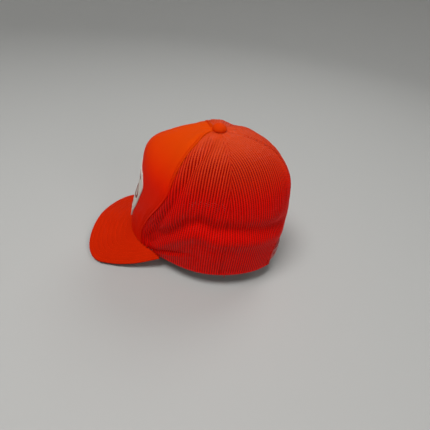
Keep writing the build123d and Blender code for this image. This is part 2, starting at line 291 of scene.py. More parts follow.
def find_xz(x, z, rear):
    """Azimuth and station of the crown point at x and z, on the rear or the front."""
    azimuth = np.full(np.shape(x), 180.0 if rear else 0.0)
    station = station_at_height(azimuth, z)
    for _ in range(12):
        points = crown(azimuth, station)
        radius = radius_of(points)
        turn = np.degrees(np.arcsin(np.clip(x / radius, -0.99, 0.99)))
        azimuth = 180 - turn if rear else turn
        station = station_at_height(azimuth, z)
    return azimuth, station


# --- mesh helpers ---------------------------------------------------------------------
def make_object(name, vertices, faces, uv, material, smooth=True):
    """Mesh object with a UV map in metres, its normals turned outwards."""
    mesh = bpy.data.meshes.new(name)
    mesh.from_pydata([tuple(v) for v in vertices], [], faces)
    layer = mesh.uv_layers.new(name="cloth")
    corner_vertices = np.zeros(len(mesh.loops), int)
    mesh.loops.foreach_get("vertex_index", corner_vertices)
    layer.data.foreach_set("uv", np.asarray(uv, float)[corner_vertices].ravel())
    build = bmesh.new()
    build.from_mesh(mesh)
    bmesh.ops.recalc_face_normals(build, faces=build.faces)
    build.to_mesh(mesh)
    build.free()
    mesh.polygons.foreach_set("use_smooth", [smooth] * len(mesh.polygons))
    mesh.materials.append(material)
    thing = bpy.data.objects.new(name, mesh)
    bpy.context.scene.collection.objects.link(thing)
    return thing


def grid_faces(rows, columns, start=0, wrap=False):
    faces = []
    for i in range(rows - 1):
        for j in range(columns if wrap else columns - 1):
            k = (j + 1) % columns
            faces.append((start + i * columns + j, start + i * columns + k,
                          start + (i + 1) * columns + k, start + (i + 1) * columns + j))
    return faces


def shell(name, outer, inner, uv, material):
    """Closed sheet between two grids of points, (rows, columns, 3)."""
    rows, columns = outer.shape[:2]
    count = rows * columns
    faces = grid_faces(rows, columns)
    faces += [tuple(v + count for v in reversed(f)) for f in faces]
    border = [j for j in range(columns)] + [i * columns + columns - 1 for i in range(1, rows)]
    border += [(rows - 1) * columns + j for j in range(columns - 2, -1, -1)]
    border += [i * columns for i in range(rows - 2, 0, -1)]
    for a, b in zip(border, border[1:] + border[:1]):
        faces.append((b, a, a + count, b + count))
    vertices = np.concatenate([outer.reshape(-1, 3), inner.reshape(-1, 3)])
    return make_object(name, vertices, faces, np.concatenate([uv.reshape(-1, 2)] * 2), material)


def tube_faces(rings, around, start=0):
    """Faces of a tube with capped ends, its vertices numbered from start."""
    last = start + (rings - 1) * around
    caps = [tuple(range(start, start + around)), tuple(range(last, last + around))]
    return grid_faces(rings, around, start, wrap=True) + caps


def tube(name, rings, uv, material, closed=False):
    """Surface through rings of points, (rings, around, 3), its ends capped unless it is closed."""
    count, around = rings.shape[:2]
    if closed:
        last = (count - 1) * around
        faces = grid_faces(count, around, wrap=True)
        faces += [(last + j, last + (j + 1) % around, (j + 1) % around, j) for j in range(around)]
    else:
        faces = tube_faces(count, around)
    return make_object(name, rings.reshape(-1, 3), faces, uv.reshape(-1, 2), material)


def cross_rings(sides, ups, around, flatness=1.0):
    """Unit ring of directions across each point of a path."""
    return (sides[..., None, :] * np.cos(around)[:, None]
            + ups[..., None, :] * np.sin(around)[:, None] * flatness)


def finish_piece(thing, slot_name, *cad_nodes, **sheet):
    """Puts a piece on the root body, in place of its CAD nodes. slot_name and the sheet facts are not used.
    """
    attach(thing, "root")
    if cad_nodes:
        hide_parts(*cad_nodes)


def path_frame(points, normals, closed=False):
    """Tangents and sideways directions of a path that lies on a surface."""
    if closed:
        tangents = np.roll(points, -1, 0) - np.roll(points, 1, 0)
    else:
        tangents = np.gradient(points, axis=0)
    tangents = unit(tangents)
    return tangents, unit(np.cross(tangents, normals))


def lengths_along(points):
    steps = np.linalg.norm(np.diff(points, axis=0), axis=1)
    return np.concatenate([[0], np.cumsum(steps)])


stitch_length = 2.9 * MM
stitch_gap = 0.6 * MM
stitch_swell = np.array([0.45, 0.9, 1.0, 1.0, 0.9, 0.45])   # share of the radius, along a stitch
stitch_sides = 6


def stitches(name, slot_name, paths, material, radius=0.24 * MM, lift=0.2 * MM):
    """Rows of thread stitches along (points, normals) paths, each a short bowed thread."""
    stops = len(stitch_swell)
    along_share = np.linspace(0, 1, stops)
    bow = np.sin(math.pi * along_share) ** 0.5
    vertices, faces, uv = [], [], []
    for points, normals in paths:
        along = lengths_along(points)
        count = int(along[-1] / (stitch_length + stitch_gap))
        if count < 1:
            continue
        pitch = along[-1] / count
        starts = np.arange(count) * pitch + stitch_gap / 2
        places = starts[:, None] + along_share * (pitch - stitch_gap)
        spots = np.stack([np.interp(places, along, points[:, k]) for k in range(3)], -1)
        ups = unit(np.stack([np.interp(places, along, normals[:, k]) for k in range(3)], -1))
        ways = unit(np.gradient(spots, axis=1))
        sides = unit(np.cross(ways, ups))
        spots = spots + ups * (bow * lift - radius * 0.6)[:, None]
        ring = cross_rings(sides, ups, circle(stitch_sides), 0.8)
        rings = spots[:, :, None] + ring * (radius * stitch_swell)[:, None, None]
        for one, place in zip(rings, places):
            faces.extend(tube_faces(stops, stitch_sides, len(vertices)))
            vertices.extend(one.reshape(-1, 3))
            uv.extend([(p, a / stitch_sides * MM) for p in place for a in range(stitch_sides)])
    finish_piece(make_object(name, vertices, faces, np.array(uv), material), slot_name)


def crown_path(azimuths, stations, out):
    """Points and normals of a path on the cloth."""
    return on_crown(azimuths, stations, out), crown_normal(azimuths, stations)


def mirror_object(thing, name):
    """Copy of an object with x turned round."""
    copy = thing.data.copy()
    copy.name = name
    build = bmesh.new()
    build.from_mesh(copy)
    for vertex in build.verts:
        vertex.co.x = -vertex.co.x
    bmesh.ops.recalc_face_normals(build, faces=build.faces)
    build.to_mesh(copy)
    build.free()
    other = bpy.data.objects.new(name, copy)
    bpy.context.scene.collection.objects.link(other)
    return other


# --- materials ------------------------------------------------------------------------
def feed(tree, socket, value):
    """Sets a socket to a number or colour, or links a node's output to it."""
    if isinstance(value, bpy.types.NodeSocket):
        tree.links.new(value, socket)
    else:
        socket.default_value = value


def node(tree, kind, **settings):
    """New shader node; its settings, then its inputs by name."""
    made = tree.nodes.new("ShaderNode" + kind)
    for key, value in settings.items():
        if key in made.inputs:
            feed(tree, made.inputs[key], value)
        else:
            setattr(made, key, value)
    return made


def math_node(tree, operation, *values):
    """Output of a Math node."""
    made = node(tree, "Math", operation=operation)
    for socket, value in zip(made.inputs, values):
        feed(tree, socket, value)
    return made.outputs[0]


def rise_node(tree, value, low, high):
    """Smooth rise from 0 at low to 1 at high."""
    made = node(tree, "MapRange", interpolation_type="SMOOTHSTEP", Value=value)
    made.inputs["From Min"].default_value = low
    made.inputs["From Max"].default_value = high
    return made.outputs["Result"]


def mix_node(tree, factor, first, second):
    """Mixed colour."""
    made = node(tree, "Mix", data_type="RGBA", Factor=factor, A=first, B=second)
    return made.outputs["Result"]


def thread_waves(tree, cloth, kind, across, along):
    """Crossing threads, from their numbers per metre: a twill's second set is finer."""
    def wave(across_rate, along_rate):
        turns = [math_node(tree, "MULTIPLY", cloth[axis], rate * 2 * math.pi)
                 for axis, rate in enumerate((across_rate, along_rate))]
        return math_node(tree, "SINE", math_node(tree, "ADD", *turns))

    if kind == "twill":
        return math_node(tree, "ADD", wave(across, along), wave(across * 3, -along * 3))
    return math_node(tree, "MULTIPLY", wave(across, along), wave(across, -along))


noises = (38.0, 4.0), (900.0, 2.0)  # scale per metre and detail of the blotches and the grain
painted_light_heights = 0.100, 0.160  # between these heights the colour turns to the top's painted-light colour
valley_shade_fade_heights = 0.140, 0.161     # and the painted shade in the valleys between ribs fades out, as they close up
roughness_spread = 0.08


def material(name, dark, light, roughness, weave, sheen=0.0, coat=0.0, specular=0.05, painted_top_light=None,
             rib_pitch=None, bump_strength=0.35):
    """Procedural cloth or plastic. weave is (kind, threads per metre across, along); the valleys
    between ribs are darker as painted shade, and the top can be given a painted-light colour."""
    made = bpy.data.materials.new(name)
    made.use_nodes = True
    tree = made.node_tree
    shader = tree.nodes["Principled BSDF"]
    constants = {"Sheen Weight": sheen, "Sheen Roughness": 0.4, "Sheen Tint": (*light, 1),
                 "Coat Weight": coat, "Coat Roughness": 0.25, "Specular IOR Level": specular,
                 "Specular Tint": (*[c ** 0.16 for c in light], 1)}
    for socket, value in constants.items():
        shader.inputs[socket].default_value = value
    places = node(tree, "TexCoord").outputs
    blotches, grain = [node(tree, "TexNoise", Vector=places["Object"], Scale=scale, Detail=detail,
                            Roughness=0.6).outputs["Fac"] for scale, detail in noises]
    # colour: slow blotches, fine grain, and the threads
    tone = math_node(tree, "MULTIPLY_ADD", grain, 0.5, blotches)
    factor = math_node(tree, "SUBTRACT", tone, 0.25)
    dents = grain
    if weave[0] != "plain":
        cloth = node(tree, "SeparateXYZ", Vector=places["UV"]).outputs
        dents = thread_waves(tree, cloth, *weave)
        factor = math_node(tree, "MULTIPLY_ADD", dents, 0.12, factor)
    colour = mix_node(tree, factor, (*dark, 1), (*light, 1))
    # painted light: towards the top the colour turns to a lighter, more orange one, as where the overhead
    # light falls
    if painted_top_light is not None:
        height = node(tree, "SeparateXYZ", Vector=places["Object"]).outputs[2]
        colour = mix_node(tree, rise_node(tree, height, *painted_light_heights), colour, (*painted_top_light, 1))
    # painted shade: the valleys between ribs take half the dark colour, except near the top
    if rib_pitch is not None:
        rib = math_node(tree, "COSINE", math_node(tree, "MULTIPLY", cloth[0], 2 * math.pi / rib_pitch))
        unshaded = math_node(tree, "MAXIMUM", rise_node(tree, rib, -0.7, 0.6),
                          rise_node(tree, height, *valley_shade_fade_heights))
        colour = mix_node(tree, unshaded, (*[c * 0.5 for c in dark], 1), colour)
    feed(tree, shader.inputs["Base Color"], colour)
    rough = node(tree, "MapRange", Value=grain)
    rough.inputs["To Min"].default_value = max(roughness - roughness_spread, 0.05)
    rough.inputs["To Max"].default_value = min(roughness + roughness_spread, 1.0)
    feed(tree, shader.inputs["Roughness"], rough.outputs["Result"])
    dent = node(tree, "Bump", Strength=bump_strength, Distance=0.25 * MM, Height=dents)
    feed(tree, shader.inputs["Normal"], dent.outputs["Normal"])
    return made


fine_knit = "knit", 900, 900
sewing_thread = "knit", 1500, 1500
moulded = "plain", 0, 0
wale_pitch = 3.0 * MM
# painted light: the orange cloth turns lighter and more orange towards the top, where the overhead light
# falls
orange_cloth = material("orange_cloth", (0.75, 0.009, 0.0004), (0.85, 0.014, 0.0005), 0.62, fine_knit,
                        painted_top_light=(0.74, 0.060, 0.0005))
visor_cloth = material("visor_cloth", (0.57, 0.014, 0.0004), (0.65, 0.021, 0.0006), 0.62, fine_knit)
button_cloth = material("button_cloth", (0.68, 0.036, 0.0005), (0.76, 0.052, 0.0005), 0.55, fine_knit)
# painted light and shade: the mesh turns more orange towards the top in place of glints of light through
# its holes, and its valleys between ribs are painted darker as shade
mesh_yarn = material("mesh_yarn", (0.80, 0.002, 0.0005), (0.94, 0.005, 0.001), 0.36, ("knit", 420, 900),
                     specular=0.13, painted_top_light=(0.66, 0.056, 0.010), rib_pitch=wale_pitch)
tape_cloth = material("tape_cloth", (0.34, 0.002, 0.001), (0.44, 0.004, 0.002), 0.7, ("twill", 700, 700))
band_cloth = material("band_cloth", (0.36, 0.002, 0.001), (0.46, 0.005, 0.002), 0.8, ("twill", 620, 620))
foam_skin = material("foam_skin", (0.62, 0.06, 0.01), (0.78, 0.11, 0.02), 0.9, moulded, bump_strength=0.8)
binding_cloth = material("binding_cloth", (0.56, 0.004, 0.001), (0.68, 0.009, 0.002), 0.5,
                         ("twill", 800, 800))
thread_orange = material("thread_orange", (0.72, 0.018, 0.001), (0.84, 0.032, 0.002), 0.45, sewing_thread)
thread_red = material("thread_red", (0.50, 0.003, 0.001), (0.62, 0.006, 0.003), 0.45, sewing_thread)
patch_twill = material("patch_twill", (0.66, 0.61, 0.54), (0.80, 0.76, 0.69), 0.75, ("twill", 600, 600),
                       sheen=0.1)
patch_thread = material("patch_thread", (0.62, 0.59, 0.53), (0.82, 0.79, 0.73), 0.5, sewing_thread,
                        specular=0.3)
patch_ink = material("patch_ink", (0.22, 0.012, 0.008), (0.34, 0.022, 0.014), 0.5, sewing_thread,
                     specular=0.3)
label_satin = material("label_satin", (0.72, 0.70, 0.66), (0.84, 0.83, 0.80), 0.35, ("twill", 1200, 1200),
                       specular=0.4)
snap_plastic = material("snap_plastic", (0.46, 0.004, 0.002), (0.54, 0.008, 0.004), 0.3, moulded, coat=0.15,
                        specular=0.4, bump_strength=0.06)
board_plastic = material("board_plastic", (0.03, 0.03, 0.03), (0.05, 0.05, 0.05), 0.5, moulded)
rivet_metal = material("rivet_metal", (0.55, 0.55, 0.56), (0.68, 0.68, 0.70), 0.3, moulded, specular=0.5,
                       bump_strength=0.1)
rivet_metal.node_tree.nodes["Principled BSDF"].inputs["Metallic"].default_value = 1.0


def dress(name, finish):
    """Gives a CAD node that stays its material."""
    materials = frame["nodes"][name].data.materials
    materials.clear()
    materials.append(finish)


# --- mesh panels: knitted wales with a hole between every two -------------------------
course_pitch = 2.4 * MM
closed_top_radius = 21 * MM         # there are no holes within this radius of the button,
closed_hem_height = 4.5 * MM        # below this height,
closed_at_arch = 1.5 * MM           # or this near the rear arch's binding
arch_cut = 2.5 * MM                 # how far under the binding the mesh reaches
hole_width = 0.40 * MM      # half sizes of a hole at full stretch
hole_height = 0.48 * MM
wale_out = 0.60 * MM        # the yarn's faces, outwards from the CAD surface
between_out = -0.10 * MM
hole_out = -0.25 * MM
inner_out = -0.95 * MM
arch_half_width = 33 * MM
arch_height = 42 * MM
arch_binding_width = 5 * MM
arch_power = 2.5


def inside_arch(points, margin):
    across = np.abs(points[..., 0]) / (arch_half_width + margin)
    up = np.maximum(points[..., 2], 0) / (arch_height + margin)
    return (across ** arch_power + up ** arch_power < 1) & (points[..., 1] > 0)


def mesh_panel(name, side, middle, left, right, left_band, right_band):
    """Panel of knitted mesh between two seams, its wales parallel to the middle meridian.

    left and right give the seams' azimuths at a station; the bands by them are closed cloth.
    side is 1 for the wearer's left and -1 for the right."""
    fine_stations = np.linspace(top_station, 1, 400)
    along = lengths_along(crown(middle, fine_stations))
    rows = int(along[-1] / course_pitch)
    course = along[-1] / rows
    levels = np.arange(2 * rows + 1) * course / 2
    level_stations = np.interp(levels, along, fine_stations)
    half = int(150 * MM / wale_pitch)
    wales = np.arange(-half, half + 1) * wale_pitch

    def azimuths_at(level, across):
        """Azimuth at a distance across from the middle meridian, on each level."""
        result = np.zeros(across.shape)
        for k in np.unique(level):
            station = level_stations[k]
            fan = np.linspace(middle - 110, middle + 110, 221)
            arc = lengths_along(crown(fan, np.full(fan.shape, station)))
            arc = arc - np.interp(middle, fan, arc)
            here = level == k
            result[here] = np.interp(across[here], arc, fan)
        return result

    # cells: column between two wales, every second column half a course lower
    columns = np.arange(2 * half)
    column, row = np.meshgrid(columns, np.arange(rows), indexing="ij")
    column, row = column.ravel(), row.ravel()
    start = 2 * row + column % 2
    keep = start + 2 <= 2 * rows
    column, start = column[keep], start[keep]
    # offsets of the 8 points of a cell's border and of its hole: (across, level step, out)
    border = [(-0.5, 0), (0.0, 0), (0.5, 0), (0.5, 1), (0.5, 2), (0.0, 2), (-0.5, 2), (-0.5, 1)]
    hole = [(-0.62, -0.80), (0, -1), (0.62, -0.80), (1, 0), (0.62, 0.80), (0, 1), (-0.62, 0.80), (-1, 0)]
    centre_across = wales[column] + wale_pitch / 2
    centre_azimuth = azimuths_at(start + 1, centre_across)
    centre_station = level_stations[start + 1]
    radius = radius_of(crown(centre_azimuth, centre_station))
    near_left = np.radians(centre_azimuth - left(centre_station)) * radius
    near_right = np.radians(right(centre_station) - centre_azimuth) * radius
    centre = crown(centre_azimuth, centre_station)
    keep = (near_left > -wale_pitch * 0.6) & (near_right > -wale_pitch * 0.6)
    keep &= ~inside_arch(centre, arch_cut)
    closed = (near_left < left_band) | (near_right < right_band) | (radius < closed_top_radius)
    closed |= centre[:, 2] < closed_hem_height
    closed |= inside_arch(centre, arch_binding_width + closed_at_arch)
    column, start, closed, centre_across = column[keep], start[keep], closed[keep], centre_across[keep]

    # border points, each shared by the cells that meet there; those on a wale stand out
    cells = len(start)
    across = np.concatenate([centre_across + step * wale_pitch for step, _ in border])
    level = np.concatenate([start + step for _, step in border])
    out = np.repeat([wale_out if abs(step) > 0.1 else between_out for step, _ in border], cells)
    keys = np.round(across / wale_pitch * 2).astype(np.int64) * 100000 + level
    unique, first, cell_border = np.unique(keys, return_index=True, return_inverse=True)
    cell_border = cell_border.reshape(8, cells).T
    border_across, border_level = across[first], level[first]
    border_azimuth = azimuths_at(border_level, border_across)
    border_station = level_stations[border_level]
    # holes: smaller low down, where the mesh is gathered
    centre_height = crown(middle, level_stations[start + 1])[..., 2]
    stretch = 0.5 + 0.5 * smoothstep(centre_height, 94 * MM, 118 * MM)
    hole_azimuth, hole_station = [], []
    for step_across, step_along in hole:
        place = levels[start + 1] + step_along * hole_height * stretch
        hole_station.append(np.interp(place, levels, level_stations))
        hole_azimuth.append(azimuths_at(start + 1, centre_across + step_across * hole_width * stretch))
    hole_azimuth = np.stack(hole_azimuth, 1).ravel()
    hole_station = np.stack(hole_station, 1).ravel()
    azimuth = np.concatenate([border_azimuth, hole_azimuth])
    station = np.concatenate([border_station, hole_station])
    azimuth = np.clip(azimuth, left(station), right(station))
    shown = np.concatenate([out[first], np.full(len(hole_azimuth), hole_out)])
    flatten = 0.75 * smoothstep(crown(azimuth, station)[..., 2], 144 * MM, 158 * MM)
    shown = shown * (1 - flatten)
    outer = on_crown(azimuth * side, station, shown)
    inner = on_crown(azimuth * side, station, inner_out)
    count = len(azimuth)
    ring = len(unique) + np.arange(cells * 8).reshape(cells, 8)
    faces = []
    edges = {}
    for cell in range(cells):
        for a in range(8):
            b = (a + 1) % 8
            p, q, r, s = cell_border[cell, a], cell_border[cell, b], ring[cell, b], ring[cell, a]
            faces.append((p, q, r, s))
            faces.append((s + count, r + count, q + count, p + count))
            if not closed[cell]:
                faces.append((s, r, r + count, s + count))
            edge = (min(p, q), max(p, q))
            edges[edge] = edges.get(edge, 0) + 1
        if closed[cell]:
            faces.append(tuple(ring[cell]))
            faces.append(tuple(ring[cell][::-1] + count))
    for (p, q), uses in edges.items():
        if uses == 1:
            faces.append((p, q, q + count, p + count))
    hole_across = np.stack([centre_across + s * hole_width for s, _ in hole], 1).ravel()
    hole_along = np.stack([levels[start + 1] + s * hole_height for _, s in hole], 1).ravel()
    flat = np.stack([np.concatenate([border_across, hole_across]),
                     np.concatenate([levels[border_level], hole_along])], -1)
    faces = [tuple(int(v) for v in face) for face in faces]
    thing = make_object(name, np.concatenate([outer, inner]), faces, np.concatenate([flat, flat]),
                        mesh_yarn)
    build = bmesh.new()
    build.from_mesh(thing.data)
    bmesh.ops.remove_doubles(build, verts=build.verts, dist=0.02 * MM)
    bmesh.ops.dissolve_degenerate(build, edges=build.edges, dist=0.01 * MM)
    bmesh.ops.recalc_face_normals(build, faces=build.faces)
    build.to_mesh(thing.data)
    build.free()
    return thing


def constant(value):
    return lambda station: np.full(np.shape(station), value)


for side_name, sign in (("left", 1), ("right", -1)):
    side_mesh = mesh_panel("side_mesh_" + side_name, sign, (seam_azimuth_top + side_seam_azimuth) / 2,
                           front_seam, constant(side_seam_azimuth), 5.0 * MM, 1.2 * MM)
    finish_piece(side_mesh, "mesh", "side_mesh_panel_" + side_name, flat=(0.150, 0.235), held="stretched",
                 rests_on=["front_panel"], area=0.0170)
    rear_mesh = mesh_panel("rear_mesh_" + side_name, sign, (side_seam_azimuth + 180) / 2,
                           constant(side_seam_azimuth), constant(180.0), 1.2 * MM, 2.4 * MM)
    finish_piece(rear_mesh, "mesh", "rear_mesh_panel_" + side_name, flat=(0.120, 0.235), held="stretched",
                 rests_on=["side_mesh_" + side_name], area=0.0175)

# --- front panel: cloth over foam, rolled at the seams --------------------------------
welt_width = 3.4 * MM


def front_shares():
    """Shares of the way from the middle to the seam, close together by the seams."""
    edge = np.linspace(0, 0.14, 26)
    centre = np.linspace(0.14, 1, 26)[1:]
    half = 1 - np.concatenate([edge, centre])
    return np.concatenate([-half, half[::-1][1:]])


def front_relief(away, station, sign):
    """Rolled edge by the seam: down into the seam, over the welt, and into the stitched groove."""
    roll = np.clip(away / welt_width, 0, 1)
    out = -1.3 * MM * (1 - smoothstep(away, 0, 1.2 * MM))
    low = smoothstep(station, 0.35, 0.6)
    out = out + (1.2 - 0.7 * low) * MM * np.sin(math.pi * roll)
    out = out - (1.5 - 1.1 * low) * MM * bump(away, welt_width + 0.2 * MM, 1.0 * MM)
    out = out + 0.5 * MM * bump(away, welt_width + 6 * MM, 5 * MM)
    # pulled threads make small waves along the groove, larger at the lower end
    ripple = np.sin(station * 420 + sign) * bump(away, welt_width + 2 * MM, 3 * MM)
    out = out + (0.06 + 0.10 * smoothstep(station, 0.6, 0.9)) * MM * ripple
    # soft diagonal wrinkles in the lower corner
    wrinkle = np.sin(away / (9 * MM) * 2 * math.pi + station * 26) * smoothstep(station, 0.62, 0.85)
    return out + 0.35 * MM * wrinkle * bump(away, 14 * MM, 12 * MM)


def front_grid(stations, shares, out, soft):
    station, share = np.meshgrid(stations, shares, indexing="ij")
    seam = front_seam(station)
    azimuth = share * seam
    points = crown(azimuth, station)
    radius = radius_of(points)
    away = np.radians(seam - np.abs(azimuth)) * radius
    lift = front_relief(away, station, np.sign(share)) * smoothstep(radius, 4 * MM, 16 * MM) * soft
    uv = np.stack([np.radians(azimuth) * radius, station * 0.235], -1)
    return on_crown(azimuth, station, lift + out), uv


front_stations = np.concatenate([np.linspace(top_station, 0.1, 14)[:-1], np.linspace(0.1, 1.0, 130)])
outer, _ = front_grid(front_stations, front_shares(), 0.0, 1.0)
inner, uv = front_grid(front_stations, front_shares(), -fabric_thickness, 1.0)
front_cloth = shell("front_panel", outer, inner, uv, orange_cloth)
finish_piece(front_cloth, "front_fabric", "front_panel_fabric", flat=(0.205, 0.215), held="stretched",
             rests_on=["foam_backing"], area=0.0270)

foam_stations = np.linspace(0.05, 0.995, 90)
foam_shares = np.linspace(-0.985, 0.985, 81)
outer, _ = front_grid(foam_stations, foam_shares, -fabric_thickness - layer_gap, 0.8)
inner, uv = front_grid(foam_stations, foam_shares, -fabric_thickness - foam_thickness, 0.25)
foam = shell("foam_backing", outer, inner, uv, foam_skin)
finish_piece(foam, "foam", "front_foam_backing")

seam_stations = np.linspace(0.07, 0.985, 300)
seam_radius = radius_of(crown(front_seam(seam_stations), seam_stations))
groove_azimuth = front_seam(seam_stations) - np.degrees((welt_width + 0.2 * MM) / seam_radius)
grooves = [crown_path(sign * groove_azimuth, seam_stations, -0.45 * MM) for sign in (1, -1)]
stitches("front_topstitch", "front_fabric", grooves, thread_orange)

# --- stitches beside the side and rear seams ------------------------------------------
side_rows = []
for seam, foot in ((side_seam_azimuth, 0.985), (-side_seam_azimuth, 0.985), (180.0, 0.60)):
    stations = np.linspace(0.13, foot, 300)
    radius = radius_of(crown(np.full(300, seam), stations))
    for sign in (-1, 1):
        side_rows.append(crown_path(seam + sign * np.degrees(2.0 * MM / radius), stations, 0.22 * MM))
stitches("seam_topstitch", "tape", side_rows, thread_red, radius=0.2 * MM, lift=0.12 * MM)

# --- seam tapes inside ----------------------------------------------------------------
def tape(name, side, seam, first, last, bottom):
    """Tape under a seam and its two rows of stitches; side is 1 for the left and -1 for the right."""
    stations = np.linspace(0.08, bottom, 90)
    shares = np.linspace(first, last, 13)
    station, share = np.meshgrid(stations, shares, indexing="ij")
    radius = radius_of(crown(seam(station), station))
    azimuth = seam(station) + np.degrees(share * tape_width / radius)
    place = (share - first) / (last - first)
    swell = -0.15 * MM * np.sin(math.pi * place) + 0.10 * MM * bump(np.abs(place - 0.5), 0.33, 0.05)
    depth = mesh_thickness + 0.2 * MM
    uv = np.stack([share * tape_width, station * 0.235], -1)
    outer = on_crown(azimuth * side, station, -depth)
    inner = on_crown(azimuth * side, station, -depth - tape_thickness + swell)
    rows = []
    for at in (0.17, 0.83):
        line_share = first + (last - first) * at
        line = seam(stations) + np.degrees(line_share * tape_width / radius[:, 0])
        points, normals = crown_path(line * side, stations, -depth - tape_thickness - 0.05 * MM)
        rows.append((points, -normals))
    return shell(name, outer, inner, uv, tape_cloth), rows


tape_rows = []
for name, seam, first, last in (("front_tape", front_seam, 0.02, 1.02),
                                ("side_tape", constant(side_seam_azimuth), -0.5, 0.5)):
    for side_name, sign in (("_left", 1), ("_right", -1)):
        seam_tape, rows = tape(name + side_name, sign, seam, first, last, 0.8)
        finish_piece(seam_tape, "tape", name.replace("_tape", "_seam_tape") + side_name,
                     flat=(0.010, 0.165), held="stretched", rests_on=["side_mesh" + side_name])
        tape_rows += rows
rear_tape, rows = tape("rear_tape", 1, constant(180.0), -0.5, 0.5, 0.62)
finish_piece(rear_tape, "tape", "rear_seam_tape", flat=(0.010, 0.125), held="stretched",
             rests_on=["rear_mesh_left", "rear_mesh_right"])
stitches("tape_stitches", "tape", tape_rows + rows, thread_red, radius=0.2 * MM, lift=0.15 * MM)

# --- visor ----------------------------------------------------------------------------
board_thickness = 2.0 * MM
cover_thickness = 0.6 * MM
visor_half_width = 79.9 * MM
visor_widest_at = 119.5 * MM
visor_reach = 40.0 * MM
visor_power = 2.1
visor_drop = 9.6 * MM
visor_side_drop = 6.4 * MM
visor_front_share = 0.62
visor_thickness = board_thickness + 2 * cover_thickness
groove_place = 0.36 * MM    # of the sewn rows' threads below the cover's face
stitch_row_pitch = 6.4 * MM
first_row = 5.0 * MM
row_count = 8


def visor_edge(share):
    sign = np.sign(share)
    share = np.abs(share)
    angle = np.minimum(share / visor_front_share, 1) * math.pi / 2
    reach = (np.cos(angle) / visor_reach) ** visor_power + (np.sin(angle) / visor_half_width) ** visor_power
    reach = reach ** (-1 / visor_power)
    front = np.stack([reach * np.sin(angle), -visor_widest_at - reach * np.cos(angle),
                      -visor_drop - visor_side_drop * np.sin(angle) ** 2], -1)
    corner = crown(visor_corner_azimuth, 1.0)
    tail = np.clip((share - visor_front_share) / (1 - visor_front_share), 0, 1)
    width = visor_half_width + (corner[0] + 3 * MM - visor_half_width) * tail ** 2
    forward = visor_widest_at + (-corner[1] + 1 * MM - visor_widest_at) * tail
    side_height = -visor_drop - visor_side_drop
    height = side_height + (corner[2] - side_height) * tail ** 2
    back = np.stack([width, -forward, height], -1)
    points = np.where((share <= visor_front_share)[..., None], front, back)
    return points * np.stack([sign, np.ones_like(sign), np.ones_like(sign)], -1)


def visor_root(share):
    azimuth = visor_corner_azimuth * share
    root = crown(azimuth, np.ones_like(share)) - crown_normal(azimuth, np.ones_like(share)) * MM
    return root - np.array([0, 0, 0.7 * MM])


def visor_shares(count):
    """Shares from corner to corner, evenly spaced along the edge."""
    fine = np.linspace(-1, 1, 2001)
    along = lengths_along(visor_edge(fine))
    return np.interp(np.linspace(0, along[-1], count), along, fine)


def visor_geometry(share):
    """Root, edge, length of the ruling, and how square the ruling meets the edge."""
    root, edge = visor_root(share), visor_edge(share)
    ruling = edge - root
    length = np.linalg.norm(ruling, axis=-1)
    step = 0.002
    tangent = unit(visor_edge(np.clip(share + step, -1, 1)) - visor_edge(np.clip(share - step, -1, 1)))
    square = np.sqrt(np.maximum(1 - (unit(ruling) * tangent).sum(-1) ** 2, 0.04))
    return root, edge, length, square


def visor_point(share, way):
    root, edge, _, _ = visor_geometry(share)
    return root + (edge - root) * way[..., None]


def visor_normal(share, way):
    step = 0.004
    around = visor_point(np.clip(share + step, -1, 1), way) - visor_point(np.clip(share - step, -1, 1), way)
    out = visor_point(share, np.clip(way + 0.02, 0, 1)) - visor_point(share, np.clip(way - 0.02, 0, 1))
    normal = unit(np.cross(around, out))
    return np.where(normal[..., 2:] < 0, -normal, normal)


def quilting(away):
    """Depth of the stitched grooves at a distance from the edge."""
    out = np.zeros_like(away)
    for row in range(row_count):
        out = out - 0.42 * MM * bump(away, first_row + row * stitch_row_pitch, 0.75 * MM)
    return out


def visor_cover():
    """Cloth over the board: the top, round the edge and back along the underside."""
    shares = visor_shares(150)
    ways = np.linspace(0, 1, 96)
    rim = 1.5 * MM
    turns = np.linspace(math.pi / 2, -math.pi / 2, 9)
    grids = []
    flats = []
    for skin in (0.0, 0.5 * MM):
        share, way = np.meshgrid(shares, ways, indexing="ij")
        root, edge, length, square = visor_geometry(share)
        way = way * (1 - rim / (length * square))
        away = (1 - way) * length * square
        normal = visor_normal(share, way)
        middle = visor_point(share, way) - normal * visor_thickness / 2
        half = visor_thickness / 2 - skin
        top = middle + normal * (half + quilting(away))[..., None]
        under = middle - normal * (half + quilting(away))[..., None]
        # the rim is half a circle between the two faces
        last_middle, last_normal = middle[:, -1], normal[:, -1]
        tangent = unit(np.gradient(last_middle, axis=0))
        outward = unit(np.cross(last_normal, tangent))
        to_edge = edge[:, -1] - last_middle
        outward = outward * np.sign((outward * to_edge).sum(-1))[:, None]
        arc = []
        for turn in turns[1:-1]:
            across_rim = last_normal * half * math.sin(turn) + outward * (rim - skin) * math.cos(turn)
            arc.append(last_middle + across_rim)
        grids.append(np.concatenate([top, np.stack(arc, 1), under[:, ::-1]], 1))
        down = way * length
        rim_flat = down[:, -1:] + np.linspace(0, 1, len(arc)) * 4 * MM
        flats.append(np.concatenate([down, rim_flat, 2 * rim_flat[:, -1:] - down[:, ::-1]], 1))
    across = np.broadcast_to(lengths_along(visor_edge(shares))[:, None], flats[0].shape)
    uv = np.stack([across, flats[0]], -1)
    return shell("visor_cover", grids[0], grids[1], uv, visor_cloth)


cover = visor_cover()
finish_piece(cover, "visor_fabric", "visor_top_cover", "visor_under_cover", flat=(0.255, 0.160),
             held="stretched", rests_on=["visor_board"], area=0.0262)
dress("visor_board", board_plastic)

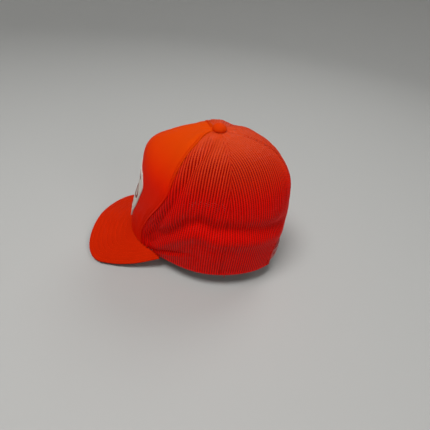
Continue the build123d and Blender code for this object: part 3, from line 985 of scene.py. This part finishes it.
visor_rows = []
for row in range(row_count):
    away = first_row + row * stitch_row_pitch
    shares = visor_shares(700)
    root, edge, length, square = visor_geometry(shares)
    way = 1 - away / (length * square)
    for part in np.split(np.arange(len(shares)), np.where(np.diff((way > 0.03).astype(int)))[0] + 1):
        if way[part[0]] <= 0.03 or len(part) < 12:
            continue
        points = visor_point(shares[part], way[part])
        normals = visor_normal(shares[part], way[part])
        visor_rows.append((points - normals * groove_place, normals))
        visor_rows.append((points - normals * (visor_thickness - groove_place), -normals))
stitches("visor_stitches", "visor_fabric", visor_rows, thread_orange, radius=0.23 * MM, lift=0.16 * MM)

# --- button ---------------------------------------------------------------------------
button_radius = 8.8 * MM
button_height = 6.8 * MM
button_base = crown_height + 0.5 * MM


def button():
    """Cloth-covered dome, gathered under its rim."""
    profile = [(0, 1.0), (0.18, 0.99), (0.36, 0.945), (0.54, 0.86), (0.70, 0.735), (0.83, 0.58),
               (0.93, 0.40), (0.985, 0.22), (1.0, 0.08), (0.985, -0.06), (0.94, -0.16), (0.86, -0.20),
               (0.6, -0.20), (0.0, -0.20)]
    around = circle(72)
    rings, uv = [], []
    for r, z in profile:
        gather = 1 + 0.018 * np.cos(around * 12 + 0.4) * smoothstep(np.array(r), 0.7, 1.0) * (z < 0.6)
        radius = max(r, 0.004) * button_radius * gather
        lift = button_base + 0.8 * MM + z * button_height
        rings.append(np.stack([radius * np.cos(around), radius * np.sin(around), np.full(72, lift)], -1))
        uv.append(np.stack([radius * np.cos(around), radius * np.sin(around)], -1))
    made = tube("button", np.array(rings), np.array(uv), button_cloth)
    smooth = made.modifiers.new("smooth", "SUBSURF")
    smooth.levels = smooth.render_levels = 1
    return made


cap_button = button()
finish_piece(cap_button, "front_fabric", "crown_button_cap")
dress("crown_button_rivet", rivet_metal)

# --- sweatband ------------------------------------------------------------------------
def band_depth(azimuth):
    lining = fabric_thickness + foam_thickness + 4 * layer_gap
    beside = mesh_thickness + tape_thickness + 3 * layer_gap
    past_seam = smoothstep(np.abs(azimuth) - seam_azimuth_hem, 5, 15)
    return lining + (beside - lining) * past_seam


band_stitch_lines = 0.16, 0.86      # shares of the way down the band


def sweatband():
    azimuths = np.linspace(-band_end_azimuth, band_end_azimuth, 320)
    top = float(station_at_height(np.array(90.0), band_height))
    azimuth, drop = np.meshgrid(azimuths, np.linspace(0, 1, 34), indexing="ij")
    station = top + (0.98 - top) * drop
    # folded top edge, two pressed stitch lines below, slack between them
    roll = 0.35 * MM * bump(drop, 0.03, 0.035)
    slack = 0.35 * MM * np.sin(np.radians(azimuth) * 23 + 2 * drop) * np.sin(math.pi * drop)
    pressed = -0.25 * MM * sum(bump(drop, at, 0.02) for at in band_stitch_lines)
    inward = np.maximum(band_thickness + roll + pressed + np.maximum(slack, 0), 0.4 * MM)
    outer = inside_crown(azimuth, station, band_depth(azimuth))
    inner = outer - crown_normal(azimuth, station) * inward[..., None]
    uv = np.stack([np.radians(azimuth) * radius_of(outer), drop * band_height], -1)
    made = shell("sweatband_cloth", outer, inner, uv, band_cloth)
    rows = []
    for at in band_stitch_lines:
        line = np.full(azimuths.shape, top + (0.98 - top) * at)
        points = inside_crown(azimuths, line, band_depth(azimuths) + band_thickness)
        rows.append((points, -crown_normal(azimuths, line)))
    return made, rows


band, band_rows = sweatband()
finish_piece(band, "sweatband", "sweatband", flat=(0.455, 0.028), held="stretched",
             rests_on=["side_mesh_left", "foam_backing"])
stitches("band_stitches", "sweatband", band_rows, thread_red, radius=0.22 * MM)

# --- hem and rear arch bindings -------------------------------------------------------
binding_height = 4.0 * MM
binding_thickness = 0.6 * MM


def hem_strip():
    """Turned hem: the mesh folded under, its wales still showing."""
    azimuths = np.linspace(visor_corner_azimuth, 158.0, 560)
    top = station_at_height(azimuths, np.full(azimuths.shape, binding_height))
    section = [(0.0, -0.60), (0.03, -0.10), (0.30, 0.12), (0.62, 0.22), (0.86, 0.24), (1.0, 0.15),
               (1.03, -0.1), (1.02, -0.7), (0.96, -1.15), (0.5, -1.2)]
    rings, uv = [], []
    points = crown(azimuths, np.ones(azimuths.shape))
    along = lengths_along(points)
    wales = 0.28 * MM * np.cos(along / wale_pitch * 2 * math.pi)
    for share, out in section:
        station = top + (1 - top) * min(share, 1.0)
        spot = crown(azimuths, station)
        normal = crown_normal(azimuths, station)
        lift = out * MM + (wales if out > 0 else 0)
        spot = spot + normal * (lift * np.ones(azimuths.shape))[:, None]
        spot[:, 2] -= max(share - 1, 0) * binding_height * 4
        rings.append(spot)
        uv.append(np.stack([along, np.full(along.shape, share * binding_height)], -1))
    return tube("hem_left", np.stack(rings, 1), np.stack(uv, 1), mesh_yarn)


hem = hem_strip()
for side_name, hem_piece in (("left", hem), ("right", mirror_object(hem, "hem_right"))):
    finish_piece(hem_piece, "binding", "hem_binding_" + side_name, flat=(0.0105, 0.150), held="stretched",
                 rests_on=["side_mesh_left", "rear_mesh_left"], area=0.00105)


def arch_outline(margin, count):
    """(x, z) along the rear opening's edge, left foot to right foot."""
    angles = np.linspace(0, math.pi, count)
    across = np.sign(np.cos(angles)) * np.abs(np.cos(angles)) ** (2 / arch_power)
    x = (arch_half_width + margin) * across
    z = (arch_height + margin) * np.sin(angles) ** (2 / arch_power)
    fine = lengths_along(np.stack([x, np.zeros(count), z], -1))
    even = np.linspace(0, fine[-1], 240)
    return np.interp(even, fine, x), np.interp(even, fine, z)


def arch_binding():
    x0, z0 = arch_outline(0.0, 2000)
    x1, z1 = arch_outline(arch_binding_width, 2000)
    section = [(-0.02, 0.0), (0.02, 0.75), (0.25, 1.0), (0.55, 1.0), (0.85, 0.95), (1.0, 0.5),
               (1.0, -0.6), (0.85, -1.0), (0.55, -1.05), (0.25, -1.05), (0.02, -0.8)]
    rings, uv = [], []
    along = None
    for share, side in section:
        x = x0 + (x1 - x0) * share
        z = np.maximum(z0 + (z1 - z0) * share, 0.0)
        azimuth, station = find_xz(x, z, rear=True)
        spot = crown(azimuth, station)
        if along is None:
            along = lengths_along(spot)
        pucker = 0.12 * MM * np.sin(along / (3.4 * MM) * 2 * math.pi) * (0.3 if share > 0.7 else 1.0)
        middle = -mesh_thickness / 2
        half = mesh_thickness / 2 + binding_thickness + 0.1 * MM
        pressed = -0.22 * MM * bump(share, 0.78, 0.12)
        out = middle + side * half + np.sign(side) * (pressed + (pucker if abs(side) > 0.6 else 0))
        spot = spot + crown_normal(azimuth, station) * (out * np.ones(spot.shape[0]))[:, None]
        rings.append(spot)
        uv.append(np.stack([along, np.full(along.shape, share * arch_binding_width)], -1))
    made = tube("arch_binding", np.stack(rings, 1), np.stack(uv, 1), binding_cloth)
    x, z = x0 + (x1 - x0) * 0.78, np.maximum(z0 + (z1 - z0) * 0.78, 0.0)
    azimuth, station = find_xz(x, z, rear=True)
    normal = crown_normal(azimuth, station)
    rows = [(crown(azimuth, station) + normal * 0.5 * MM, normal),
            (crown(azimuth, station) - normal * 1.5 * MM, -normal)]
    return made, rows


arch, arch_rows = arch_binding()
finish_piece(arch, "binding", "rear_arch_binding", flat=(0.013, 0.150), held="folded",
             rests_on=["rear_mesh_left", "rear_mesh_right"], area=0.0012)
stitches("arch_stitches", "binding", arch_rows, thread_red, radius=0.22 * MM)

# --- straps ---------------------------------------------------------------------------
for name in ("peg_strap_anchor", "peg_strap", "hole_strap_anchor", "hole_strap"):
    dress(name, snap_plastic)

strap_radius = 50 * MM
strap_thickness = 1.3 * MM
strap_bottom = 1.5 * MM
strap_top = 18.5 * MM
strap_root_azimuth = 163.0


def strap_bend():
    """Flexible root of the hole strap: one band of plastic over the strap and its sewn-in end."""
    hinge = np.array(frame["record"]["behaviour"]["joints"][0]["pos_m"])
    root_turn = math.asin(hinge[0] / strap_radius)
    centre_y = hinge[1] - strap_radius * math.cos(root_turn)
    proud = 0.05 * MM
    depth = mesh_thickness + binding_thickness + 3 * layer_gap - proud
    reach = np.linspace(0.2, 2.6, 9) * MM
    heights = np.linspace(strap_bottom - proud, strap_top + proud, 12)
    # the sewn-in end follows the crown, the strap its own arc
    back, height = np.meshgrid(reach[::-1], heights, indexing="ij")
    azimuth = strap_root_azimuth - np.degrees(back / np.hypot(hinge[0], hinge[1]))
    station = station_at_height(azimuth, height)
    sewn_normal = crown_normal(azimuth, station)
    sewn = crown(azimuth, station) - sewn_normal * depth
    ahead, height = np.meshgrid(reach, heights, indexing="ij")
    turn = root_turn - ahead / strap_radius
    way = np.stack([np.sin(turn), np.cos(turn), np.zeros_like(turn)], -1)
    strap = way * (strap_radius + proud) + np.stack([0 * height, 0 * height + centre_y, height], -1)
    outer = np.concatenate([sewn, strap])
    inner = outer - np.concatenate([sewn_normal, way]) * (strap_thickness + 2 * proud)
    uv = np.stack([np.concatenate([-back, ahead]), np.concatenate([height, height])], -1)
    bend = shell("strap_bend", outer, inner, uv, snap_plastic)
    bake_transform(bend)


strap_bend()

# --- patch ----------------------------------------------------------------------------
patch_side = [(38.0, 102.5), (44.6, 88.0), (38.5, 62.0), (31.5, 41.5), (20.5, 22.5)]
patch_crest = 108.0
patch_foot = 9.0
patch_middle = np.array([0.0, 64.0]) * MM


def patch_outline(count, inset):
    """Closed shield outline (x, z), evenly spaced, from the foot round by the wearer's left."""
    mirrored_side = (-patch_side[-1][0], patch_side[-1][1])
    keys = np.array([mirrored_side, (0.0, patch_foot)] + patch_side[::-1] + [(32.0, 112.0)])
    side = []
    for a, b, c, d in zip(keys[:-3], keys[1:-2], keys[2:-1], keys[3:]):
        f = np.linspace(0, 1, 60, endpoint=False)[:, None]
        side.append(spline_point(a, b, c, d, f))
    side = np.concatenate(side)
    corner_x, corner_z = patch_side[0]
    rise = patch_crest - corner_z
    arc_radius = (corner_x ** 2 + rise ** 2) / (2 * rise)
    x = np.linspace(corner_x, 0, 60)
    top = np.stack([x, patch_crest - arc_radius + np.sqrt(arc_radius ** 2 - x ** 2)], -1)
    half = np.concatenate([side, top])
    whole = np.concatenate([half, (half * [-1, 1])[::-1][1:]]) * MM
    along = lengths_along(whole)
    even = np.linspace(0, along[-1], count, endpoint=False)
    outline = np.stack([np.interp(even, along, whole[:, 0]), np.interp(even, along, whole[:, 1])], -1)
    way = unit(np.roll(outline, -2, 0) - np.roll(outline, 2, 0))
    return outline + np.stack([-way[:, 1], way[:, 0]], -1) * inset


def on_front(flat, out):
    """Points and normals on the front panel at flat (x, z) places."""
    azimuth, station = find_xz(flat[..., 0], flat[..., 1], rear=False)
    normals = crown_normal(azimuth, station)
    return on_crown(azimuth, station, out), normals


def patch_layer(name, flat_rings, low, high, cloth, closed=False):
    """Flat layer on the front panel, through rings of (x, z) places."""
    upper, _ = on_front(flat_rings, high)
    lower, _ = on_front(flat_rings, low)
    rings = np.concatenate([upper, lower[::-1]])
    uv = np.concatenate([flat_rings, flat_rings[::-1]])
    return tube(name, rings, uv, cloth, closed=closed)


border_radius = 1.15 * MM
outline = patch_outline(220, border_radius)
rings = np.stack([patch_middle + (outline - patch_middle) * s for s in np.linspace(0.01, 0.985, 26)])
patch = patch_layer("patch_sheet", rings, 0.12 * MM, 0.9 * MM, patch_twill)
finish_piece(patch, "patch", "front_patch", flat=(0.084, 0.090), held="laid", rests_on=["front_panel"],
             area=0.0058)


def patch_edge(name, flat, radius, out, twist_pitch):
    """Overlocked edge: a round border with slanting threads, along flat (x, z) places."""
    points, normals = on_front(flat, out)
    _, sides = path_frame(points, normals, closed=True)
    around = circle(12)
    along = lengths_along(points)[:, None]
    ridge = 1 + 0.10 * np.sin(along / twist_pitch * 2 * math.pi + around)
    rings = points[:, None] + cross_rings(sides, normals, around, 0.8) * (radius * ridge)[..., None]
    uv = np.stack([np.broadcast_to(along, ridge.shape), np.broadcast_to(around * radius, ridge.shape)], -1)
    finish_piece(tube(name, rings, uv, patch_thread, closed=True), "patch")


patch_edge("patch_border", patch_outline(1000, border_radius), border_radius, 0.5 * MM, 1.0 * MM)
ink_low, ink_high = 0.8 * MM, 1.12 * MM


def ink_ring(name, centre, outer, inner):
    """Embroidered ring, its centre (x, z) and radii in millimetres."""
    angles = circle(90)
    ways = np.stack([np.cos(angles), np.sin(angles)], -1)
    rings = np.stack([np.array(centre) + ways * radius for radius in np.linspace(inner, outer, 5)]) * MM
    finish_piece(patch_layer(name, rings, ink_low, ink_high, patch_ink, closed=True), "patch")


def ink_bar(name, corners, steps=(24, 5)):
    """Embroidered shape with four corners (x, z) in order, millimetres."""
    a, b, c, d = [np.array(corner) * MM for corner in corners]
    u, v = np.meshgrid(*[np.linspace(0, 1, count) for count in steps], indexing="ij")
    u, v = u[..., None], v[..., None]
    flat = (a * (1 - u) + b * u) * (1 - v) + (d * (1 - u) + c * u) * v
    upper, _ = on_front(flat, ink_high)
    lower, _ = on_front(flat, ink_low)
    finish_piece(shell(name, upper, lower, flat, patch_ink), "patch")


ink_ring("patch_sun", (26, 69), 9.5, 6.2)
ink_bar("patch_hill_high", [(-31, 58), (-16, 86), (-13, 86), (3, 58)], (30, 30))
ink_bar("patch_hill_low", [(5, 58), (10, 67), (12, 67), (15, 58)], (12, 12))
ink_bar("patch_ground", [(-30, 52), (12, 52), (14, 55), (-31, 55)], (40, 5))
for number in range(5):
    ink_ring("patch_dot_" + str(number + 1), (19 - 9.5 * number, 46), 2.2, 0.3)
for side_name, sign in (("left", 1), ("right", -1)):
    ink_bar("patch_band_" + side_name, [(sign * 34, 95), (0, 97.5), (0, 93.5), (sign * 34, 91)])
ink_bar("patch_stripe_low", [(-20, 33), (20, 33), (23, 38), (-23, 38)])

# --- size label -----------------------------------------------------------------------
def label():
    """Blank loop of satin that hangs inside the band and curls away from it lower down."""
    first, last = 124.0, 136.0
    top, foot = [float(station_at_height(np.array(first), height * MM)) for height in (22, 9)]
    azimuth, drop = np.meshgrid(np.linspace(first, last, 30), np.linspace(0, 1, 24), indexing="ij")
    station = top + (foot - top) * drop
    depth = band_depth(azimuth) + band_thickness + 0.45 * MM
    curl = 0.9 * MM * smoothstep(drop, 0.3, 1.0) + 0.15 * MM * np.sin(azimuth * 0.9) * drop
    normal = crown_normal(azimuth, station)
    outer = crown(azimuth, station) - normal * (depth + curl)[..., None]
    inner = outer - normal * 0.45 * MM
    uv = np.stack([np.radians(azimuth) * 0.085, drop * 13 * MM], -1)
    return shell("label_loop", outer, inner, uv, label_satin)


tag = label()
finish_piece(tag, "label", "size_label", flat=(0.018, 0.013), held="hung", rests_on=["sweatband_cloth"])

# --- loose thread ends at the hem -----------------------------------------------------
def thread_tuft(name, azimuth, height, ends):
    """Short cut ends of sewing thread at the hem."""
    base = crown(np.array(azimuth), np.array(1.0)) + np.array([0, 0, height])
    normal = crown_normal(np.array(azimuth), np.array(1.0))
    along = np.array([math.cos(math.radians(azimuth)), math.sin(math.radians(azimuth)), 0])
    vertices, faces, uv = [], [], []
    share = np.linspace(0, 1, 9)[:, None]
    for lean, reach, spread in ends:
        points = base + normal * (0.8 * MM + spread * MM * share ** 2) + along * lean * MM * share
        points = points + np.array([0, 0, -1]) * reach * MM * share ** 1.2
        tangents, sides = path_frame(points, np.broadcast_to(normal, points.shape))
        ring = cross_rings(sides, np.cross(sides, tangents), circle(6))
        rings = points[:, None] + ring * (0.22 * MM * (1 - 0.4 * share))[..., None]
        faces.extend(tube_faces(9, 6, len(vertices)))
        vertices.extend(rings.reshape(-1, 3))
        uv.extend([(i * MM, j * 0.2 * MM) for i in range(9) for j in range(6)])
    finish_piece(make_object(name, vertices, faces, np.array(uv), thread_red), "mesh")


thread_tuft("thread_ends", 119.0, 0.0, [(-1.0, 3.4, 0.3), (0.4, 3.8, 0.6), (1.4, 2.8, 0.2)])

# --- floor and light ------------------------------------------------------------------
floor_height = -21 * MM
floor_radius = 1.3
sweep_radius = 0.9


def add_backdrop():
    """Grey sweep: a round floor that curves up into a wall all round."""
    turns = np.linspace(0, math.pi / 2, 16)
    profile = [(0.001, 0.0), (1.0, 0.0)]
    profile += [(floor_radius + sweep_radius * math.sin(a), sweep_radius * (1 - math.cos(a)))
                for a in turns]
    profile.append((floor_radius + sweep_radius, 4.5))
    around = circle(96)
    vertices = [(r * math.cos(a), r * math.sin(a), floor_height + z) for r, z in profile for a in around]
    mesh = bpy.data.meshes.new("backdrop")
    mesh.from_pydata(vertices, [], grid_faces(len(profile), len(around), wrap=True))
    mesh.polygons.foreach_set("use_smooth", [True] * len(mesh.polygons))
    backdrop = bpy.data.objects.new("backdrop", mesh)
    bpy.context.scene.collection.objects.link(backdrop)
    made = bpy.data.materials.new("backdrop_paper")
    made.use_nodes = True
    shader = made.node_tree.nodes["Principled BSDF"]
    shader.inputs["Base Color"].default_value = (0.50, 0.50, 0.485, 1)
    shader.inputs["Roughness"].default_value = 0.9
    mesh.materials.append(made)


add_backdrop()


def area_light(name, place, target, size, watts, colour=(1, 1, 1)):
    data = bpy.data.lights.new(name, "AREA")
    data.shape = "DISK"
    data.size = size
    data.energy = watts
    data.color = colour
    light = bpy.data.objects.new(name, data)
    light.location = place
    way = Vector(target) - Vector(place)
    light.rotation_euler = way.to_track_quat("-Z", "Y").to_euler()
    bpy.context.scene.collection.objects.link(light)


area_light("key", (0.5, -0.3, 1.5), (0, 0, 0.08), 0.7, 17)
area_light("fill", (1.2, 1.2, 0.9), (0, 0, 0.08), 1.0, 5)
area_light("back", (-0.9, 0.4, 1.3), (0, 0, 0.08), 0.8, 6)
world = bpy.data.worlds.new("studio")
world.use_nodes = True
background = world.node_tree.nodes["Background"].inputs
background["Color"].default_value = (0.9, 0.92, 0.95, 1)
background["Strength"].default_value = 0.2
bpy.context.scene.world = world
bpy.context.scene.view_settings.view_transform = "Standard"
